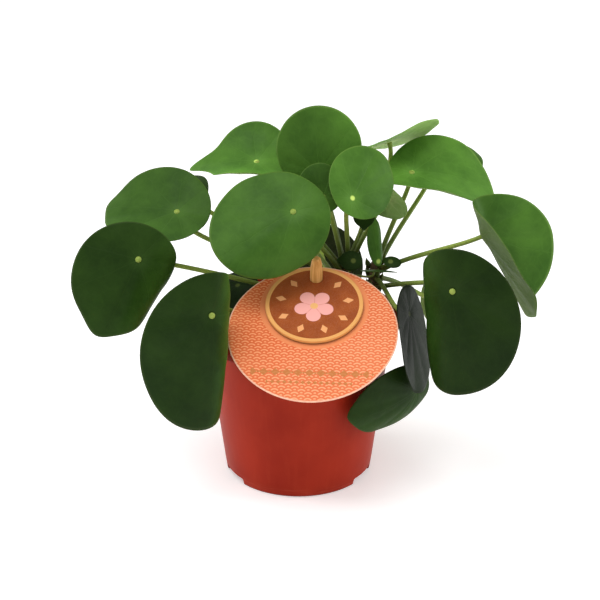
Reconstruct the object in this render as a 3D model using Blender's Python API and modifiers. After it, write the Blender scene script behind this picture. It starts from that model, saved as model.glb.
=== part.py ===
"""A Chinese money plant in its nursery pot, with a round label card that a wooden stake holds.

The pot's base is centred on the origin and stands on the plane z = 0. The front of the plant, with
its label, looks along -Y. Lengths are metres, and the leaf table is in millimetres and degrees.
"""

import math
from collections import namedtuple

import bmesh
import bpy
from mathutils import Matrix, Vector

MM = 0.001
FIT = 0.3 * MM  # air between two pieces that rest on or in each other
MERGE = 0.0001

# Pot
POT_HEIGHT = 98 * MM
POT_RIM_RADIUS = 60 * MM
POT_BASE_RADIUS = 43.5 * MM
POT_WALL_TAPER = 7.3
POT_WALL = 1.2 * MM
POT_FLOOR = 1.4 * MM
COLLAR_HEIGHT = 9 * MM
COLLAR_DRAFT = 1.2 * MM
COLLAR_STEP = 0.9 * MM
POT_EDGE = 1.2 * MM
POT_SIDES = 64
DRAIN_ANGLES = (-63, 63, 180)  # from the front
DRAIN_WIDTH = 22 * MM
DRAIN_DEPTH = 9 * MM
DRAIN_HEIGHT = 4 * MM
DRAIN_HOLE_WIDTH = 12 * MM
DRAIN_HOLE_DEPTH = 4 * MM
THROUGH = 2 * MM  # how far a cutter runs past a face that it goes through

# Soil
SOIL_TOP = 87 * MM
SOIL_CROWN = 3 * MM  # how much higher the middle is
SOIL_SIDES = 40
SOIL_RINGS = (0.3, 0.6, 0.85, 1)  # shares of its radius

# Stem and side shoot: foot, top, and radius at each
STEM_FOOT, STEM_TOP = Vector((18, 20, 66)) * MM, Vector((29, 22, 124)) * MM
STEM_RADIUS, STEM_TOP_RADIUS = 6 * MM, 4 * MM
SHOOT_FOOT, SHOOT_TOP = Vector((40, 20, 72)) * MM, Vector((46, 21, 124)) * MM
SHOOT_RADIUS, SHOOT_TOP_RADIUS = 4 * MM, 3 * MM
STEM_SIDES = 12
STEMS = {
    "stem": ("main_stem", STEM_FOOT, STEM_TOP, STEM_RADIUS, STEM_TOP_RADIUS),
    "shoot": ("side_shoot", SHOOT_FOOT, SHOOT_TOP, SHOOT_RADIUS, SHOOT_TOP_RADIUS),
}

# Leaves
BLADE_THICKNESS = 0.8 * MM
BLADE_RINGS, BLADE_STEPS = 3, 20
YOUNG_STEPS = 14
TIP_SHARPNESS = 12
STALK_RADIUS = 1.25 * MM
YOUNG_STALK_RADIUS = 0.6 * MM
STALK_POINTS = 8
BLADE_GAP = 0.8 * MM  # from a stalk to the blade it carries
STEM_GAP = 0.4 * MM  # from a stalk to its stem
STALK_BOW = 0.4  # share of its reach before a stalk bends over
STALK_STEEPEST = 80

# Label: a round card, and a small thick disc in front of it, threaded on the stake
CARD_RADIUS = 48.5 * MM
CARD_THICKNESS = 0.8 * MM
CARD_CENTRE = Vector((8, -43.5, 108.2)) * MM
CARD_TURN, CARD_LIFT = -4, 65  # which way it faces, as for a leaf
CARD_SAG = 3 * MM  # how far its lower edge bends down
DISC_RADIUS = 28 * MM
DISC_THICKNESS = 2.4 * MM
DISC_EDGE = 0.4 * MM
DISC_FROM_TOP = 2.5 * MM  # from the card's top edge to the disc's
STAKE_RADIUS = 3.7 * MM
STAKE_TIP_RADIUS = 2.3 * MM
STAKE_TAPER = 10 * MM
STAKE_ABOVE_DISC = 15 * MM
STAKE_IN_SOIL = 50 * MM
STAKE_LEAN = 18  # degrees towards the front
STAKE_FROM_TOP = 11 * MM  # from the label's top edge to the stake's middle
ROUND_SIDES = 24
CARD_SIDES = 48
CARD_RINGS = 4

# Each leaf: where its stalk meets the blade, in mm. turn is the way its upper side faces, from the
# front (0) to the right (90), and lift is how far above level. roll swings its tip clockwise from
# straight downhill. Then its length and width in mm, and where along the length the stalk joins (0
# is the edge behind, 1 the tip). left, right and droop are how far its two sides and its tip bend
# down, in degrees: left is the side that is on the left when the tip hangs down. crease is the
# share of each side that bends, out from the midrib. point is the length of its pointed tip in mm.
# Last, the stem it grows on, and how high up that stem (0 to 1). A few stalks also say how steeply
# they leave the stem (rise, in degrees above the straight line), how far before the blade they turn
# towards it (arrive, a share of their reach), and how far they come down to it from above (hang).
Leaf = namedtuple(
    "Leaf",
    "name hub turn lift roll length width seat left right droop crease point stem height"
    " rise arrive hang",
    defaults=(8, 0.25, 0),
)
LEAVES = (
    Leaf("leaf_far_left", (-90, -34, 148), 0, 22, 30, 67, 65, 0.30, 10, 95, 15, 1, 4, "stem", 0.48),
    Leaf("leaf_left", (-70, 0, 164), -8, 62, 104, 65, 59, 0.30, -10, -15, 25, 1, 2, "stem", 0.58),
    Leaf("leaf_top_left", (-25, 48, 177), 0, 70, 98, 50, 56, 0.45, -40, -50, 20, 1, 16, "stem", 0.9),
    Leaf("leaf_front", (-3, -18, 171), -4, 48, 60, 72, 66, 0.29, 10, 60, 12, 1, 0, "stem", 0.86),
    Leaf("leaf_top", (12, 30, 176), 0, 12, 180, 51, 51, 0.22, 10, 10, 10, 1, 0, "stem", 0.98),
    Leaf("leaf_inner", (14, 4, 171), -10, 20, 160, 30, 28, 0.33, 20, 20, 10, 1, 0, "stem", 0.94),
    Leaf("leaf_centre_right", (31, -8, 175), 32, 34, 232, 48, 42, 0.22, 15, 15, 10, 1, 0, "stem", 1.0),
    Leaf("leaf_turned_away", (51, 25, 163), 155, 30, 0, 31, 29, 0.4, 20, 20, 10, 1, 0, "stem", 0.97),
    Leaf("leaf_top_right", (54, 60, 185), 214, 58, 150, 50, 46, 0.33, 10, 10, -10, 1, 0, "stem", 0.92),
    Leaf("leaf_right_upper", (67, 38, 174), 0, 68, -85, 67, 58, 0.23, -50, -25, 35, 1, 2, "shoot", 0.95),
    Leaf("leaf_right_back", (85, 66, 176), 0, 75, -60, 42, 40, 0.33, 20, 20, 20, 1, 0, "shoot", 0.87),
    Leaf("leaf_far_right", (108, 0, 149), 96, 25, 3, 78, 88, 0.27, -15, -75, -5, 0.3, 0, "shoot", 0.87),
    Leaf(
        "leaf_low_right", (86, -45, 133), -20, 10, -6, 88, 78, 0.28, 106, 25, 15, 1, 0, "shoot", 0.68,
        arrive=0.45,
    ),
    Leaf("leaf_beside_card", (64.5, -20, 108), 65, 15, 5, 65, 46, 0.26, -8, 10, 5, 1, 0, "shoot", 0.8),
    Leaf(
        "leaf_front_low", (70, -21, 59), 50, 2, 89, 63, 42, 0.20, 5, 42, 25, 1, 3, "shoot", 0.45,
        rise=55, arrive=1.1, hang=1,
    ),
    Leaf(
        "leaf_low_left", (-47, -71, 130), 25, 6, 6, 96, 80, 0.26, 30, 88, 15, 0.6, 0, "stem", 0.5,
        rise=-25, arrive=0.6,
    ),
    Leaf("leaf_behind_left", (-66, 26, 164), -60, 50, 20, 46, 42, 0.33, 25, 25, 20, 1, 3, "stem", 0.76),
    Leaf("leaf_back_left", (-36, 10, 113), -30, 66, 20, 40, 36, 0.30, 20, 20, 10, 1, 0, "stem", 0.52),
    Leaf("leaf_back", (-8, 96, 132), 180, 30, 0, 66, 60, 0.30, 30, 30, 20, 1, 0, "stem", 0.70),
    Leaf("leaf_back_low", (14, 90, 104), 180, 10, 0, 60, 56, 0.30, 30, 30, 10, 1, 0, "stem", 0.5),
    Leaf("leaf_back_right", (95, 62, 82), 125, 15, 0, 56, 52, 0.30, 30, 30, 20, 1, 0, "shoot", 0.78),
)
YOUNG_LEAVES = (
    Leaf("young_leaf_pointed", (38, 8, 159), 0, 45, 0, 14, 13, 0.4, 10, 10, 10, 1, 2, "stem", 0.99),
    Leaf("young_leaf_folded", (47, 10, 128), 30, 10, 180, 28, 12, 0.1, 60, 60, 5, 1, 2, "shoot", 1.0),
    Leaf("young_leaf_oval", (54, 10, 128), 0, 55, -80, 11, 8, 0.4, 10, 10, 10, 1, 0, "shoot", 0.93),
    Leaf("young_leaf_flat", (44, 0, 127), 180, 70, 90, 20, 12, 0.4, 10, 10, 10, 1, 2, "stem", 0.84),
    Leaf("young_leaf_dark", (32, 4, 131), -10, 30, 90, 14, 12, 0.4, 10, 10, 10, 1, 2, "stem", 0.8),
)


def clear_scene():
    for thing in list(bpy.data.objects):
        bpy.data.objects.remove(thing, do_unlink=True)


def collection(name):
    made = bpy.data.collections.new(name)
    bpy.context.scene.collection.children.link(made)
    return made


def material(name, colour, roughness, metallic=0.0):
    made = bpy.data.materials.new(name)
    made.use_nodes = True
    shader = made.node_tree.nodes["Principled BSDF"]
    shader.inputs["Base Color"].default_value = (*colour, 1)
    shader.inputs["Roughness"].default_value = roughness
    shader.inputs["Metallic"].default_value = metallic
    return made


def add_mesh(name, mesh, home, finish=None):
    made = bpy.data.objects.new(name, mesh)
    home.objects.link(made)
    if finish:
        mesh.materials.append(finish)
    return made


def add_cutter(name, mesh):
    made = add_mesh(name, mesh, CUTTERS)
    made.hide_render = True
    made.display_type = "WIRE"
    return made


def shade_round(thing, degrees=35):
    thing.data.shade_smooth()
    thing.data.set_sharp_from_angle(angle=math.radians(degrees))


def finished_mesh(name, bm):
    mesh = bpy.data.meshes.new(name)
    bm.to_mesh(mesh)
    bm.free()
    return mesh


def profile_mesh(name, points):
    """An open profile in the XZ plane, for a Screw modifier."""
    bm = bmesh.new()
    corners = [bm.verts.new((radius, 0, height)) for radius, height in points]
    for low, high in zip(corners, corners[1:]):
        bm.edges.new((low, high))
    return finished_mesh(name, bm)


def turn_profile(thing, sides):
    screw = thing.modifiers.new("Turned", "SCREW")
    screw.steps = screw.render_steps = sides
    screw.use_merge_vertices = True
    screw.merge_threshold = MERGE
    screw.use_smooth_shade = True


def cut(thing, cutter):
    boolean = thing.modifiers.new(cutter.name, "BOOLEAN")
    boolean.object = cutter
    boolean.operation = "DIFFERENCE"


def box_mesh(name, size, centre):
    bm = bmesh.new()
    bmesh.ops.create_cube(bm, size=1)
    bmesh.ops.scale(bm, verts=bm.verts, vec=size)
    bmesh.ops.translate(bm, verts=bm.verts, vec=centre)
    return finished_mesh(name, bm)


def rod_mesh(name, radius, length, sides=ROUND_SIDES, top_radius=None):
    """A rod up the Z axis from the origin."""
    bm = bmesh.new()
    top = radius if top_radius is None else top_radius
    bmesh.ops.create_cone(
        bm, cap_ends=True, segments=sides, radius1=radius, radius2=top, depth=length
    )
    bmesh.ops.translate(bm, verts=bm.verts, vec=(0, 0, length / 2))
    return finished_mesh(name, bm)


def along(direction):
    """The rotation that carries +Z onto a direction."""
    return direction.to_track_quat("Z", "Y").to_matrix().to_4x4()


def facing(turn, lift, roll=0):
    """Axes of a blade or card: X its side, Y its tip, Z its upper side."""
    turn, lift, roll = (math.radians(v) for v in (turn, lift, roll))
    normal = Vector(
        (math.sin(turn) * math.cos(lift), -math.cos(turn) * math.cos(lift), math.sin(lift))
    )
    downhill = Vector(
        (math.sin(turn) * math.sin(lift), -math.cos(turn) * math.sin(lift), -math.cos(lift))
    )
    side = downhill.cross(normal)
    tip = downhill * math.cos(roll) + side * math.sin(roll)
    return Matrix((tip.cross(normal), tip, normal)).transposed().to_4x4()


# Pot
def wall_radius(height):
    return POT_BASE_RADIUS + height * math.tan(math.radians(POT_WALL_TAPER))


def drain_box(name, angle, grow, height):
    """A block at the edge of the base, sunk below it so that it cuts clean through the wall."""
    size = (DRAIN_WIDTH + 2 * grow, 2 * (DRAIN_DEPTH + grow), height + THROUGH)
    box = add_cutter(name, box_mesh(name, size, (0, 0, (height - THROUGH) / 2)))
    turn = math.radians(angle)
    box.matrix_world = Matrix.Rotation(turn, 4, "Z") @ Matrix.Translation(
        (0, -POT_BASE_RADIUS, 0)
    )
    return box


def make_pot(finish):
    collar_low = POT_HEIGHT - COLLAR_HEIGHT
    collar_radius = POT_RIM_RADIUS - COLLAR_DRAFT
    outside = [
        (0, POT_HEIGHT),
        (POT_RIM_RADIUS - POT_EDGE / 2, POT_HEIGHT),
        (POT_RIM_RADIUS, POT_HEIGHT - POT_EDGE / 2),
        (collar_radius, collar_low),
        (wall_radius(collar_low - COLLAR_STEP), collar_low - COLLAR_STEP),
        (wall_radius(POT_EDGE), POT_EDGE),
        (POT_BASE_RADIUS - POT_EDGE, 0),
        (0, 0),
    ]
    collar_inner_low = collar_low + POT_WALL
    inside = [
        (0, POT_HEIGHT + POT_EDGE),
        (POT_RIM_RADIUS - POT_WALL, POT_HEIGHT + POT_EDGE),
        (collar_radius - POT_WALL, collar_inner_low),
        (wall_radius(collar_inner_low) - POT_WALL, collar_inner_low - COLLAR_STEP),
        (wall_radius(POT_FLOOR) - POT_WALL, POT_FLOOR),
        (0, POT_FLOOR),
    ]
    pot = add_mesh("pot", profile_mesh("pot", outside), PARTS, finish)
    turn_profile(pot, POT_SIDES)
    hollow = add_cutter("pot_hollow", profile_mesh("pot_hollow", inside))
    turn_profile(hollow, POT_SIDES)
    for number, angle in enumerate(DRAIN_ANGLES):
        block = drain_box(f"drain_block_{number}", angle, POT_WALL, DRAIN_HEIGHT + POT_WALL)
        cut(hollow, block)
    cut(pot, hollow)
    for number, angle in enumerate(DRAIN_ANGLES):
        cut(pot, drain_box(f"drain_{number}", angle, 0, DRAIN_HEIGHT))
        name = f"drain_hole_{number}"
        hole_size = (DRAIN_HOLE_WIDTH, DRAIN_HOLE_DEPTH, 2 * DRAIN_HEIGHT)
        hole = add_cutter(name, box_mesh(name, hole_size, (0, 0, DRAIN_HEIGHT)))
        inward = POT_BASE_RADIUS - DRAIN_DEPTH + DRAIN_HOLE_DEPTH / 2 + POT_WALL
        turn = Matrix.Rotation(math.radians(angle), 4, "Z")
        hole.matrix_world = turn @ Matrix.Translation((0, -inward, 0))
        cut(pot, hole)
    return pot


# Soil
def make_soil(finish):
    top_edge = wall_radius(SOIL_TOP) - POT_WALL - FIT
    low = POT_FLOOR + FIT
    profile = [(0, SOIL_TOP + SOIL_CROWN)]
    profile += [
        (top_edge * share, SOIL_TOP + SOIL_CROWN * (1 - share**2)) for share in SOIL_RINGS
    ]
    profile += [(wall_radius(low) - POT_WALL - FIT, low), (0, low)]
    soil = add_mesh("soil", profile_mesh("soil", profile), PARTS, finish)
    turn_profile(soil, SOIL_SIDES)
    for number, angle in enumerate(DRAIN_ANGLES):
        grow = POT_WALL + FIT
        cut(soil, drain_box(f"soil_drain_{number}", angle, grow, DRAIN_HEIGHT + grow))
    for name, foot, top, radius in (
        ("stem", STEM_FOOT, STEM_TOP, STEM_RADIUS),
        ("shoot", SHOOT_FOOT, SHOOT_TOP, SHOOT_RADIUS),
        ("stake", STAKE_FOOT, STAKE_TOP, STAKE_RADIUS),
    ):
        hole_name = f"soil_{name}_hole"
        direction = (top - foot).normalized()
        hole = add_cutter(hole_name, rod_mesh(hole_name, radius + FIT, (top - foot).length))
        hole.matrix_world = Matrix.Translation(foot - direction * FIT) @ along(direction)
        cut(soil, hole)
    return soil


# Stem and stalks
def make_stem(name, foot, top, radius, top_radius, finish):
    direction = top - foot
    mesh = rod_mesh(name, radius, direction.length, STEM_SIDES, top_radius)
    stem = add_mesh(name, mesh, PARTS, finish)
    stem.matrix_world = Matrix.Translation(foot) @ along(direction)
    shade_round(stem)
    return stem


def stalk_route(leaf, radius):
    """A smooth curve from the stem's side up to just under the blade."""
    _, foot, top, low_radius, high_radius = STEMS[leaf.stem]
    root_axis = foot.lerp(top, leaf.height)
    stem_radius = low_radius + (high_radius - low_radius) * leaf.height
    normal = facing(leaf.turn, leaf.lift).col[2].to_3d()
    under_blade = BLADE_THICKNESS + BLADE_GAP + leaf.hang * radius
    end = Vector(leaf.hub) * MM - normal * under_blade
    outward = Vector((end.x - root_axis.x, end.y - root_axis.y, 0)).normalized()
    straight = math.atan2(end.z - root_axis.z, (end - root_axis).xy.length)
    rise = min(straight + math.radians(leaf.rise), math.radians(STALK_STEEPEST))
    leave = outward * math.cos(rise) + Vector((0, 0, math.sin(rise)))
    root = root_axis + outward * (stem_radius + STEM_GAP + radius * abs(math.sin(rise)))
    reach = (end - root).length
    under = Vector((0, 0, leaf.hang)) - normal * (1 - leaf.hang)
    controls = root, root + leave * reach * STALK_BOW, end + under * reach * leaf.arrive, end
    points = []
    for step in range(STALK_POINTS):
        t = step / (STALK_POINTS - 1)
        weights = (1 - t) ** 3, 3 * t * (1 - t) ** 2, 3 * t**2 * (1 - t), t**3
        points.append(sum((c * w for c, w in zip(controls, weights)), Vector()))
    return points


def make_stalk(leaf, radius, finish):
    curve = bpy.data.curves.new(leaf.name + "_stalk", "CURVE")
    curve.dimensions = "3D"
    curve.bevel_depth = radius
    curve.bevel_resolution = 1
    curve.use_fill_caps = True
    points = stalk_route(leaf, radius)
    spline = curve.splines.new("POLY")
    spline.points.add(len(points) - 1)
    for place, point in zip(spline.points, points):
        place.co = (*point, 1)
    stalk = bpy.data.objects.new(leaf.name + "_stalk", curve)
    PARTS.objects.link(stalk)
    curve.materials.append(finish)
    return stalk


# Blades
def side_bend(x, leaf):
    """Where a point x out from the midrib lands: an arc over the crease, and straight past it."""
    bend = math.radians(leaf.left if x > 0 else leaf.right)
    crease = leaf.width / 2 * leaf.crease
    arc = min(abs(x), crease)
    straight = abs(x) - arc
    angle = bend * arc / crease
    radius = crease / bend
    out = radius * math.sin(angle) + straight * math.cos(angle)
    drop = radius * (math.cos(angle) - 1) - straight * math.sin(angle)
    return math.copysign(out, x), drop


def blade_point(leaf, angle, share):
    """A point of the blade's upper side: angle 0 is the tip, share 0 the stalk and 1 the edge."""
    ahead = leaf.length * (0.5 - leaf.seat)
    pointed = leaf.point * max(0, math.cos(angle)) ** TIP_SHARPNESS
    x = leaf.width / 2 * math.sin(angle) * share
    y = (ahead + leaf.length / 2 * math.cos(angle) + pointed) * share
    side, drop = side_bend(x, leaf)
    long_bend = math.radians(leaf.droop) / (leaf.length * (1 - leaf.seat))
    radius = 1 / long_bend + drop
    return Vector(
        (side, radius * math.sin(long_bend * y), radius * math.cos(long_bend * y) - 1 / long_bend)
    )


def round_sheet(name, place, rings, steps, thickness, finish):
    """A round sheet spun from a spoke, shaped by place(angle, share), thickened below."""
    bm = bmesh.new()
    spoke = [bm.verts.new((0, ring / rings, 0)) for ring in range(rings + 1)]
    edges = [bm.edges.new(pair) for pair in zip(spoke, spoke[1:])]
    bmesh.ops.spin(
        bm, geom=spoke + edges, cent=(0, 0, 0), axis=(0, 0, 1), angle=math.tau, steps=steps
    )
    bmesh.ops.remove_doubles(bm, verts=bm.verts, dist=MERGE)
    for vert in bm.verts:
        angle = math.atan2(vert.co.x, vert.co.y)
        vert.co = place(angle, vert.co.length)
    bmesh.ops.recalc_face_normals(bm, faces=bm.faces)
    if sum((face.normal * face.calc_area() for face in bm.faces), Vector()).z < 0:
        bmesh.ops.reverse_faces(bm, faces=bm.faces)
    sheet = add_mesh(name, finished_mesh(name, bm), PARTS, finish)
    sheet.data.shade_smooth()
    solid = sheet.modifiers.new("Thickness", "SOLIDIFY")
    solid.thickness = thickness
    solid.offset = -1
    return sheet


def make_blade(leaf, steps, finish):
    def place(angle, share):
        return blade_point(leaf, angle, share) * MM

    blade = round_sheet(leaf.name, place, BLADE_RINGS, steps, BLADE_THICKNESS, finish)
    blade.matrix_world = Matrix.Translation(Vector(leaf.hub) * MM) @ facing(
        leaf.turn, leaf.lift, leaf.roll
    )
    return blade


# Label
CARD_AXES = facing(CARD_TURN, CARD_LIFT)
CARD_NORMAL = CARD_AXES.col[2].to_3d()
CARD_DOWNHILL = CARD_AXES.col[1].to_3d()
STAKE_DIRECTION = Vector(
    (0, -math.sin(math.radians(STAKE_LEAN)), math.cos(math.radians(STAKE_LEAN)))
)
STAKE_CROSSING = CARD_CENTRE - CARD_DOWNHILL * (CARD_RADIUS - STAKE_FROM_TOP)
STAKE_TOP = STAKE_CROSSING + STAKE_DIRECTION * (STAKE_ABOVE_DISC + FIT + DISC_THICKNESS)
STAKE_DEPTH = (STAKE_CROSSING.z - SOIL_TOP) / STAKE_DIRECTION.z + STAKE_IN_SOIL
STAKE_FOOT = STAKE_CROSSING - STAKE_DIRECTION * STAKE_DEPTH


def make_stake_hole(thing):
    name = thing.name + "_hole"
    half_length = STAKE_ABOVE_DISC
    hole = add_cutter(name, rod_mesh(name, STAKE_RADIUS + FIT, 2 * half_length))
    low_end = STAKE_CROSSING - STAKE_DIRECTION * half_length
    hole.matrix_world = Matrix.Translation(low_end) @ along(STAKE_DIRECTION)
    cut(thing, hole)


def make_card(finish):
    def place(angle, share):
        x = CARD_RADIUS * share * math.sin(angle)
        y = CARD_RADIUS * share * math.cos(angle)
        sag = CARD_SAG * (max(0, y) / CARD_RADIUS) ** 2
        return Vector((x, y, -sag))

    card = round_sheet("label_card", place, CARD_RINGS, CARD_SIDES, CARD_THICKNESS, finish)
    card.matrix_world = Matrix.Translation(CARD_CENTRE) @ CARD_AXES
    make_stake_hole(card)
    return card


def make_disc(finish):
    name = "label_disc"
    profile = [
        (0, DISC_THICKNESS),
        (DISC_RADIUS - DISC_EDGE, DISC_THICKNESS),
        (DISC_RADIUS, DISC_THICKNESS - DISC_EDGE),
        (DISC_RADIUS, DISC_EDGE),
        (DISC_RADIUS - DISC_EDGE, 0),
        (0, 0),
    ]
    disc = add_mesh(name, profile_mesh(name, profile), PARTS, finish)
    turn_profile(disc, CARD_SIDES)
    centre = CARD_CENTRE - CARD_DOWNHILL * (CARD_RADIUS - DISC_RADIUS - DISC_FROM_TOP) + CARD_NORMAL * FIT
    disc.matrix_world = Matrix.Translation(centre) @ CARD_AXES
    make_stake_hole(disc)
    return disc


def make_stake(finish):
    name = "label_stake"
    length = (STAKE_TOP - STAKE_FOOT).length
    profile = [
        (0, length),
        (STAKE_TIP_RADIUS, length),
        (STAKE_RADIUS, length - STAKE_TAPER),
        (STAKE_RADIUS, STAKE_TAPER),
        (STAKE_TIP_RADIUS, 0),
        (0, 0),
    ]
    stake = add_mesh(name, profile_mesh(name, profile), PARTS, finish)
    turn_profile(stake, ROUND_SIDES)
    stake.matrix_world = Matrix.Translation(STAKE_FOOT) @ along(STAKE_DIRECTION)
    return stake


clear_scene()
PARTS = collection("potted_money_plant")
CUTTERS = collection("cutters")

leaf_green = material("leaf_green", (0.045, 0.16, 0.02), 0.38)
stalk_green = material("stalk_green", (0.28, 0.32, 0.04), 0.45)

make_pot(material("terracotta_plastic", (0.42, 0.045, 0.02), 0.42))
make_soil(material("potting_soil", (0.03, 0.018, 0.01), 0.95))
bark = material("stem_bark", (0.12, 0.07, 0.03), 0.8)
for stem_shape in STEMS.values():
    make_stem(*stem_shape, bark)
for grown in LEAVES:
    make_blade(grown, BLADE_STEPS, leaf_green)
    make_stalk(grown, STALK_RADIUS, stalk_green)
for young in YOUNG_LEAVES:
    make_blade(young, YOUNG_STEPS, leaf_green)
    make_stalk(young, YOUNG_STALK_RADIUS, stalk_green)
make_card(material("printed_card", (0.85, 0.36, 0.18), 0.6))
make_disc(material("disc_brown", (0.35, 0.1, 0.03), 0.55))
make_stake(material("pale_wood", (0.6, 0.33, 0.13), 0.6))
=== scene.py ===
"""The looks of a potted Chinese money plant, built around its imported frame.

Lengths are metres. The leaf table, and the shape of a blade before it is placed, are in millimetres
and degrees, with the same values and the same functions as the solid model.
"""
from collections import namedtuple
from math import atan2, copysign, cos, exp, hypot, pi, radians, remainder, sin, sqrt, tan, tau

import bmesh
import bpy
from mathutils import Matrix, Vector, noise


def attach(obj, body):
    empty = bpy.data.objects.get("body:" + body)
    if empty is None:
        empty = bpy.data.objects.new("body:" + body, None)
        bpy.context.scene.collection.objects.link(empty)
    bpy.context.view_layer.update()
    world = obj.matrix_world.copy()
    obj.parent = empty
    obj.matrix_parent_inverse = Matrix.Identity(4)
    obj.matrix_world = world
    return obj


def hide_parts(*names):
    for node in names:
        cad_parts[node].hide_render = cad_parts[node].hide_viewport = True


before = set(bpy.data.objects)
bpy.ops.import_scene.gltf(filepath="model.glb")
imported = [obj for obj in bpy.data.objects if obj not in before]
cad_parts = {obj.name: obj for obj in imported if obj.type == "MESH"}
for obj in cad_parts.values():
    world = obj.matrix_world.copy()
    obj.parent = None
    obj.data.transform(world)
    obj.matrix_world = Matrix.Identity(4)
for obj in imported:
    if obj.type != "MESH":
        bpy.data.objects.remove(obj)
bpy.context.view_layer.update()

MM = 0.001

# Pot
POT_HEIGHT = 98 * MM
POT_RIM_RADIUS = 60 * MM
POT_BASE_RADIUS = 43.5 * MM
POT_WALL_TAPER = 7.3
POT_WALL = 1.2 * MM
POT_FLOOR = 1.4 * MM
COLLAR_HEIGHT = 9 * MM
COLLAR_DRAFT = 1.2 * MM
COLLAR_STEP = 0.9 * MM
POT_EDGE = 1.2 * MM
DRAIN_ANGLES = (-63, 63, 180)
DRAIN_WIDTH = 22 * MM
DRAIN_DEPTH = 9 * MM
DRAIN_HEIGHT = 4 * MM
DRAIN_ROUNDING = 1.5 * MM
DRAIN_HOLE_WIDTH = 12 * MM
DRAIN_HOLE_DEPTH = 4 * MM
THROUGH = 2 * MM  # how far a cutter goes past what it cuts
COLLAR_EDGE = 0.4 * MM
POT_SIDES, WALL_STEPS = 192, 12

# Soil
SOIL_TOP = 87 * MM
SOIL_CROWN = 3 * MM
SOIL_LUMPS = 1.6 * MM
SOIL_GAP = 0.4 * MM
SOIL_SIDES, SOIL_RINGS = 140, 40
SOIL_EDGE = 5 * MM  # height of its top band
CRUMBS = 420

# Stems
STEM_FOOT, STEM_TOP = Vector((18, 20, 66)) * MM, Vector((29, 22, 124)) * MM
STEM_RADIUS, STEM_TOP_RADIUS = 6 * MM, 4 * MM
SHOOT_FOOT, SHOOT_TOP = Vector((40, 20, 72)) * MM, Vector((46, 21, 124)) * MM
SHOOT_RADIUS, SHOOT_TOP_RADIUS = 4 * MM, 3 * MM
STEMS = {
    "stem": ("main_stem", STEM_FOOT, STEM_TOP, STEM_RADIUS, STEM_TOP_RADIUS),
    "shoot": ("side_shoot", SHOOT_FOOT, SHOOT_TOP, SHOOT_RADIUS, SHOOT_TOP_RADIUS),
}
STEM_STEPS, STEM_SIDES = 70, 40
SCARS = 16  # of old leaves, on each stem
SPIRAL = 2.4  # radians round a stem from one scar or scale to the next
BUD_FROM, BUD_LENGTH = 0.94, 0.065  # shares of a stem
STIPULES = 14  # small scales on each stem
STIPULE_STEPS, STIPULE_SIDES = 12, 10

# Leaves
BLADE_THICKNESS = 0.8 * MM
BLADE_RINGS, BLADE_STEPS = 26, 112
YOUNG_RINGS, YOUNG_STEPS = 12, 48
TIP_SHARPNESS = 26
OUTLINE = 0.99  # the fine outline against the solid's coarser one, so that it stays inside
STALK_RADIUS = 1.25 * MM
YOUNG_STALK_RADIUS = 0.6 * MM
STALK_STEPS, STALK_SIDES = 44, 14
STALK_BOW = 0.4
STALK_STEEPEST = 80
VEINS = 9  # main veins that spread from the stalk

# Label
CARD_RADIUS = 48.5 * MM
CARD_THICKNESS = 0.8 * MM
CARD_CENTRE = Vector((8, -43.5, 108.2)) * MM
CARD_TURN, CARD_LIFT = -4, 65
CARD_SAG = 3 * MM
DISC_RADIUS = 28 * MM
DISC_THICKNESS = 2.4 * MM
DISC_FROM_TOP = 2.5 * MM
DISC_BORDER = 2.3 * MM
STAKE_RADIUS = 3.7 * MM
STAKE_TIP_RADIUS = 2.3 * MM
STAKE_TAPER = 10 * MM
STAKE_ABOVE_DISC = 15 * MM
STAKE_IN_SOIL = 50 * MM
STAKE_LEAN = radians(18)
STAKE_SIDES, STAKE_STEPS, TAPER_STEPS = 64, 12, 10
STAKE_FROM_TOP = 11 * MM
FIT = 0.3 * MM
CARD_SIDES, CARD_RINGS = 160, 24
CARD_EDGE = 0.15 * MM

# The print on the label, in mm
WAVE_RADIUS = 3.75  # of one scale of the waves
WAVE_RINGS = 2  # lines in one scale
WAVE_ROWS = 4  # rows of scales that can reach over one point
PLAIN_BAND = 3.2  # without waves, round the disc
# Rows of lozenges: distance down, shift, pitch, half a width, half a height, half of the row
LOZENGE_ROWS = (
    (29.5, 0.0, 6.4, 2.6, 2.5, 33.0),
    (29.5, 3.2, 6.4, 0.8, 0.9, 33.0),
    (36.0, 0.0, 3.4, 1.3, 1.2, 24.0),
)
DISC_LOZENGES, DISC_LOZENGE_RADIUS = 9, 19.5
PETALS = 5
BLOSSOM_DOWN = 1.5

# Light and camera
LIGHTS = (
    ("top_light", (-0.25, -0.25, 1.3), (0, 0, 0.1), (0.9, 0.9), 10),
    ("left_light", (-1.1, 0.1, 0.4), (0, 0, 0.12), (0.5, 0.9), 6),
    ("right_light", (1.1, 0.1, 0.4), (0, 0, 0.12), (0.5, 0.9), 6),
)
SKY_STRENGTH = 0.65
CAMERA_PLACE = (0.0009, -1.0495, 0.5818)
CAMERA_DOWN = 24.31
CAMERA_LENS, CAMERA_SENSOR = 117.84, 36

# Paints
MATT, SATIN = 0.07, 0.15  # how much a surface mirrors the light
# A mix node has sockets of the same name for each kind of value, so these go by number
MIX_FLOATS, MIX_COLOURS, MIX_COLOUR_OUT = (2, 3), (6, 7), 2

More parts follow.
